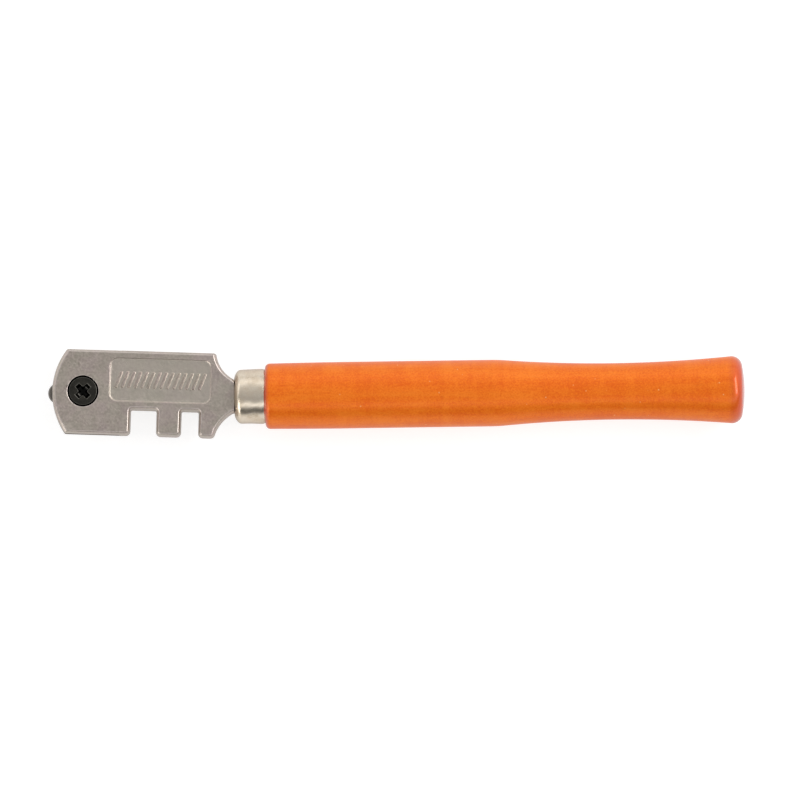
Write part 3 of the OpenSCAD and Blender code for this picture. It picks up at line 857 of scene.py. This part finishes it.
ferrule_r = (ferrule_high[1] - ferrule_low[1]) / 2
ferrule_len = ferrule_high[0] - ferrule_low[0]
ferrule_wall, tang_hole_r, hole_round = 0.4, 2.03, 0.1
ferrule_flare, rear_turn_in, rear_turn_len = 0.1, 0.16, 0.75
front_round, front_flat = 1.4, ferrule_r - 2.2
# Dents pressed into the cup: (depth, how many round it, shear along it, start angle)
ferrule_dents = [(0.018, 4, 0.9, 2.0), (0.01, 7, -1.7, 0.5), (0.006, 11, 2.6, 1.0)]


def ferrule_profile(count=28):
    """Half section of the cup: a nearly flat front, a quarter ellipse round the front edge, a side that
    opens slightly towards the back and is turned in at its end by a parabola, and the same less the
    wall inside."""
    t = np.linspace(0, math.pi / 2, count)
    side_front = ferrule_r - ferrule_flare
    round_x = front_round - (front_round - 0.02) * np.cos(t)
    round_r = front_flat + (side_front - front_flat) * np.sin(t)
    side_x = np.linspace(front_round, ferrule_len, 34)[1:]
    opened = ferrule_flare * (side_x - front_round) / (ferrule_len - front_round)
    turned_in = rear_turn_in * np.clip(1 - (ferrule_len - side_x) / rear_turn_len, 0, 1) ** 2
    inner_r = ferrule_r - ferrule_wall
    inside = [(ferrule_len, inner_r), (front_round, inner_r), (ferrule_wall + 0.25, front_flat + 0.9),
              (ferrule_wall, front_flat), (ferrule_wall, tang_hole_r + 0.02), (0.06, tang_hole_r)]
    front = [(0.0, tang_hole_r + hole_round), (0.005, front_flat - 0.35)]
    return np.concatenate([
        front, np.stack([round_x, round_r], axis=-1),
        np.stack([side_x, side_front + opened - turned_in], axis=-1), inside,
    ])


def ferrule_cup(segments=192):
    """The section turned round the handle's axis, its outside pressed slightly out of round: the radius
    gains the sines of 4, 7 and 11 times the angle, each sheared along the axis by its own amount, and
    none of them inside or at the rear edge."""
    x, r = np.hsplit(ferrule_profile(), 2)
    a = np.linspace(0, 2 * math.pi, segments, endpoint=False)
    outside = np.clip((r - ferrule_r + ferrule_wall) / 0.2, 0, 1) * np.clip((ferrule_len - x) / 0.3, 0, 1)
    dents = sum(size * np.sin(times * a + shear * x + start) for size, times, shear, start in ferrule_dents)
    radius = r + dents * outside
    grid = np.stack([np.broadcast_to(x, radius.shape), radius * np.cos(a), radius * np.sin(a)], axis=-1)
    return swept("ferrule_cup", grid + (ferrule_low[0], neck_end[1], head_mid_z), True)


def plated_nickel():
    """Bright nickel with a warm tint, duller and rougher in patches, with small pits and scratches."""
    material, tree, shader, _ = start_material("bright_nickel")
    mottle = use_group(tree, cast_mottle, {
        "Coarse": 330.0, "Fine": 1500.0, "Pit Scale": 700.0, "Pit Share": 0.05,
    })
    scratches = scratched(tree, 1.5, 3800, 120, 0.45)
    tone = ramp(tree, mottle["Tone"], [
        (0.32, (0.66, 0.54, 0.4)), (0.5, (0.82, 0.71, 0.57)), (0.7, (0.88, 0.79, 0.66)),
    ])
    tone = touched(tree, tone, mottle["Pits"], 0.6, (0.35, 0.3, 0.22))
    tree.links.new(tone, shader.inputs["Base Color"])
    shader.inputs["Metallic"].default_value = 1.0
    shader.inputs["Specular Tint"].default_value = (0.78, 0.77, 0.77, 1)
    tree.links.new(rescaled(tree, mottle["Tone"], 0.3, 0.7, 0.32, 0.18), shader.inputs["Roughness"])
    height = calculate(tree, "SUBTRACT", calculate(tree, "MULTIPLY", mottle["Tone"], 6.0), scratches)
    set_bump(tree, shader, height, 0.3, 0.000012)
    return material


ferrule = ferrule_cup()
smooth(ferrule, 40)
ferrule.data.materials.append(plated_nickel())
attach(ferrule, "body")
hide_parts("ferrule")


# ---- Handle ----
# Turned hardwood, stained orange and dipped in lacquer, which pools at its front edge and its end.
# A reduced spigot sits in the ferrule, and a bore down the middle takes the tang.

handle_low, handle_high = box_mm("handle")
handle_front = ferrule_high[0]
handle_len = handle_high[0] - handle_front
spigot_x = handle_low[0] - handle_front
end_r = (handle_high[1] - handle_low[1]) / 2
front_r, barrel_r, barrel_at = 6.1, 6.215, 16.0
waist_r, waist_at = 5.27, 65.0
front_edge_r, end_edge_r, end_dome_r = 0.9, 2.0, 26.0
spigot_fit, spigot_bevel, bore_len = 0.03, 1.8, 25.0
spigot_r = ferrule_r - ferrule_wall - spigot_fit
waist_softness = 0.035


def handle_profile():
    """Half section as (distance behind the front, radius): a barrel that fills out like a sine to its
    full radius, the waist's arc, radius + R - sqrt(R^2 - distance^2), softly joined to it as
    -s log(exp(-barrel / s) + exp(-waist / s)), then a rounded corner that touches the end's dome."""
    dome_x = handle_len - end_dome_r
    corner_r = end_r - end_edge_r
    corner_x = dome_x + math.sqrt((end_dome_r - end_edge_r) ** 2 - corner_r ** 2)
    rise = end_r - waist_r
    waist_arc = ((corner_x - waist_at) ** 2 + rise ** 2) / (2 * rise)
    x = np.linspace(front_edge_r, corner_x, 230)
    barrel = front_r + (barrel_r - front_r) * np.sin(math.pi / 2 * np.clip(x / barrel_at, 0, 1))
    waist = waist_r + waist_arc - np.sqrt(waist_arc ** 2 - (x - waist_at) ** 2)
    soft = waist_softness
    met = waist_r - soft * np.log(np.exp((waist_r - barrel) / soft) + np.exp((waist_r - waist) / soft))
    side = np.stack([x, np.where(x < waist_at, met, waist)], axis=-1)
    front = arc((front_edge_r, front_r - front_edge_r), front_edge_r, 180, 90, 13)[:-1]
    slope = math.degrees(math.asin(corner_r / (end_dome_r - end_edge_r)))
    corner = arc((corner_x, corner_r), end_edge_r, 90, slope, 22)[1:]
    dome = arc((dome_x, 0), end_dome_r, slope, 0, 16)[1:]
    dome[-1, 1] = 0
    spigot = [(bore_len, 0), (bore_len, tang_hole_r), (spigot_x, tang_hole_r),
              (spigot_x, spigot_r - spigot_bevel), (spigot_x + spigot_bevel, spigot_r), (0, spigot_r)]
    return np.concatenate([spigot, front, side, corner, dome])


def lacquer_pools(p):
    """1 where lacquer gathers, at the front edge and at the end, fading over 0.7 mm and 2.6 mm."""
    x = p[:, 0] - handle_front
    front, end = 1 - x / 0.7, 1.25 - (handle_len - x) / 2.6
    return np.clip(np.maximum(front, end), 0, 1)


def grain_group():
    """Lengthwise wood figure: broad streaks, fine fibres and short dark pores, each a noise squeezed
    across the grain. Along and Across are in features per metre."""
    tree, given, result = start_group(
        "wood_grain",
        {"Streak Across": 420.0, "Streak Along": 22.0, "Fibre Across": 3600.0, "Fibre Along": 160.0},
        {"Streaks": "Float", "Fibres": "Float", "Pores": "Float"},
    )
    place = add_node(tree, "ShaderNodeTexCoord").outputs["Object"]

    def stretched(along_scale, across_scale, detail):
        spread = add_node(tree, "ShaderNodeCombineXYZ", {0: along_scale, 1: across_scale, 2: across_scale})
        squeezed = multiplied(tree, place, spread.outputs[0])
        return add_node(tree, "ShaderNodeTexNoise", {
            "Vector": squeezed, "Scale": 1.0, "Detail": detail, "Roughness": 0.6, "Distortion": 0.3,
        }).outputs["Fac"]

    for name in ("Streak", "Fibre"):
        figure = stretched(given.outputs[name + " Along"], given.outputs[name + " Across"], 3.0)
        tree.links.new(figure, result.inputs[name + "s"])
    pores = rescaled(tree, stretched(520.0, 5200.0, 0.0), 0.68, 0.78, 0.0, 1.0)
    tree.links.new(pores, result.inputs["Pores"])
    return tree


def orange_lacquered_wood():
    """Stain that took unevenly, fine fibres and pores, under a satin lacquer with a little dust in it.
    The fibres shine through in their own colour, which is the metallic part, and the lacquer's skin is
    slightly wavy and thicker where it pools."""
    material, tree, shader, place = start_material("orange_lacquered_wood")
    grain = use_group(tree, grain_group())
    dust = few_cells(tree, place, 900.0, 0.16, 0.1, 1)
    clouds = noise(tree, place, 190.0, 4.0, 0.6)
    flecks = noise(tree, place, 3200.0, 2.0, 0.6)
    rings = noise(tree, multiplied(tree, place, (900.0, 60.0, 60.0)), 1.0, 2.0)
    stain = calculate(tree, "MULTIPLY", grain["Streaks"], 0.25)
    for figure, share in ((clouds, 0.25), (flecks, 0.4), (rings, 0.1)):
        stain = calculate(tree, "MULTIPLY_ADD", figure, share, stain)
    tone = ramp(tree, stain, [
        (0.41, (0.87, 0.14, 0.003)), (0.5, (0.94, 0.187, 0.006)), (0.59, (1.0, 0.24, 0.013)),
    ])
    pool = painted(tree, "pool")
    tone = touched(tree, tone, grain["Fibres"], 0.1, (0.62, 0.085, 0.003))
    tone = touched(tree, tone, grain["Pores"], 0.1, (0.42, 0.05, 0.003))
    tone = touched(tree, tone, pool, 0.85, (0.6, 0.04, 0.006))
    tone = touched(tree, tone, dust, 0.9, (1.0, 0.66, 0.28))
    tree.links.new(tone, shader.inputs["Base Color"])
    tree.links.new(rescaled(tree, flecks, 0.3, 0.7, 0.3, 0.42), shader.inputs["Roughness"])
    shader.inputs["Metallic"].default_value = 0.24
    shader.inputs["Specular IOR Level"].default_value = 0.28
    tree.links.new(rescaled(tree, pool, 0.0, 1.0, 0.12, 0.9), shader.inputs["Coat Weight"])
    shader.inputs["Coat Roughness"].default_value = 0.07
    waves = add_node(tree, "ShaderNodeBump", {"Height": clouds, "Strength": 0.6, "Distance": 0.0001})
    height = calculate(tree, "MULTIPLY_ADD", grain["Pores"], -0.6, flecks)
    height = calculate(tree, "MULTIPLY_ADD", dust, 1.5, height)
    set_bump(tree, shader, height, 0.3, 0.00003, waves.outputs[0])
    return material


handle = lathe("turned_handle", handle_profile(), 224, (handle_front, neck_end[1], head_mid_z), "X")
smooth(handle, 40)
mark(handle, "pool", lacquer_pools)
handle.data.materials.append(orange_lacquered_wood())
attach(handle, "body")
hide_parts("handle")


# ---- Studio ----
# A pale floor under the cutter, a sky of long grey strips, three soft panels of light, and a long lens
# almost straight above.

def pale_floor():
    """Matt pale card that glows a little, and more for the camera than for what it lights."""
    material, tree, shader, place = start_material("pale_floor")
    grain = noise(tree, place, 900.0, 2.0)
    tree.links.new(ramp(tree, grain, [(0.3, 0.42), (0.7, 0.44)]), shader.inputs["Base Color"])
    shader.inputs["Roughness"].default_value = 0.85
    shader.inputs["Emission Color"].default_value = (1.0, 1.0, 1.0, 1)
    seen = add_node(tree, "ShaderNodeLightPath").outputs["Is Camera Ray"]
    tree.links.new(rescaled(tree, seen, 0.0, 1.0, 0.43, 0.74), shader.inputs["Emission Strength"])
    return material


floor_half = 1500.0
floor_signs = np.array([(-1, -1, 0), (1, -1, 0), (1, 1, 0), (-1, 1, 0)])
floor_data = bpy.data.meshes.new("floor")
floor_data.from_pydata((floor_signs * floor_half * MM).tolist(), [], [(0, 1, 2, 3)])
floor = bpy.data.objects.new("floor", floor_data)
bpy.context.scene.collection.objects.link(floor)
floor.data.materials.append(pale_floor())


def light_panel(name, side, lean, height, width, power, colour):
    """A soft panel, 1 m from the cutter and facing it, that leans from straight above towards the side
    at an angle round Z. Its height and width are in metres."""
    lamp = bpy.data.lights.new(name, "AREA")
    lamp.shape, lamp.size, lamp.size_y, lamp.energy, lamp.color = "RECTANGLE", height, width, power, colour
    piece = bpy.data.objects.new(name, lamp)
    bpy.context.scene.collection.objects.link(piece)
    place = Matrix.Rotation(math.radians(side), 4, "Z") @ Matrix.Rotation(math.radians(lean), 4, "Y")
    piece.matrix_world = place @ Matrix.Translation((0, 0, 1))


light_panel("panel_nose", 156, 68, 0.6, 0.8, 0.35, (1.0, 0.97, 0.95))
light_panel("panel_low", 218, 75, 0.6, 0.6, 2.4, (1.0, 0.97, 0.94))
light_panel("panel_end", 14, 47, 0.3, 0.9, 4.6, (1.0, 0.98, 0.96))


def studio_sky(stops, strength):
    """Long strips of light over the cutter, as a grey ramp over the sky's lean from straight above
    towards +Y, atan2(y, z) in degrees."""
    world = bpy.data.worlds.new("studio")
    world.use_nodes = True
    tree = world.node_tree
    way = add_node(tree, "ShaderNodeTexCoord").outputs["Generated"]
    way = add_node(tree, "ShaderNodeSeparateXYZ", {0: way})
    lean = calculate(tree, "ARCTAN2", way.outputs[1], way.outputs[2])
    part = calculate(tree, "MULTIPLY_ADD", lean, 1 / math.pi, 0.5, clamp=True)
    strips = ramp(tree, part, [((angle + 90) / 180, grey) for angle, grey in stops], "EASE")
    background = tree.nodes["Background"]
    tree.links.new(strips, background.inputs["Color"])
    background.inputs["Strength"].default_value = strength
    bpy.context.scene.world = world


studio_sky([
    (-90, 0.6), (-84, 0.5), (-78, 0.15), (-70, 0.07), (-60, 0.1), (-51, 0.3), (-44, 1.0), (-35, 1.0),
    (-28, 0.45), (-14, 0.34), (7, 0.42), (33, 0.52), (48, 0.72), (58, 1.0), (72, 0.85), (90, 0.6),
], 1.15)
bpy.context.scene.view_settings.view_transform = "Standard"

elevation, roll = math.radians(86.1), math.radians(-0.814)
frame_width, camera_distance, sensor_width = 149.57, 3000.0, 36.0
look_at, aim_right, aim_down = np.array([0.0, neck_end[1], head_mid_z]), 0.77, 1.13
turned = Matrix.Rotation(roll, 3, "Z")
right = np.array(turned @ Matrix.Identity(3).col[0])
back = np.array(turned @ Matrix.Rotation(math.pi / 2 - elevation, 3, "X").col[2])
upward = np.cross(back, right)
centre = look_at + aim_right * right - aim_down * upward
camera_data = bpy.data.cameras.new("camera")
camera_data.sensor_width = sensor_width
camera_data.lens = sensor_width * camera_distance / frame_width
camera_data.clip_start, camera_data.clip_end = 0.05, 20.0
camera = bpy.data.objects.new("camera", camera_data)
bpy.context.scene.collection.objects.link(camera)
camera.matrix_world = Matrix.LocRotScale(
    (centre + back * camera_distance) * MM,
    Matrix(np.column_stack([right, upward, back]).tolist()),
    None,
)
bpy.context.scene.camera = camera
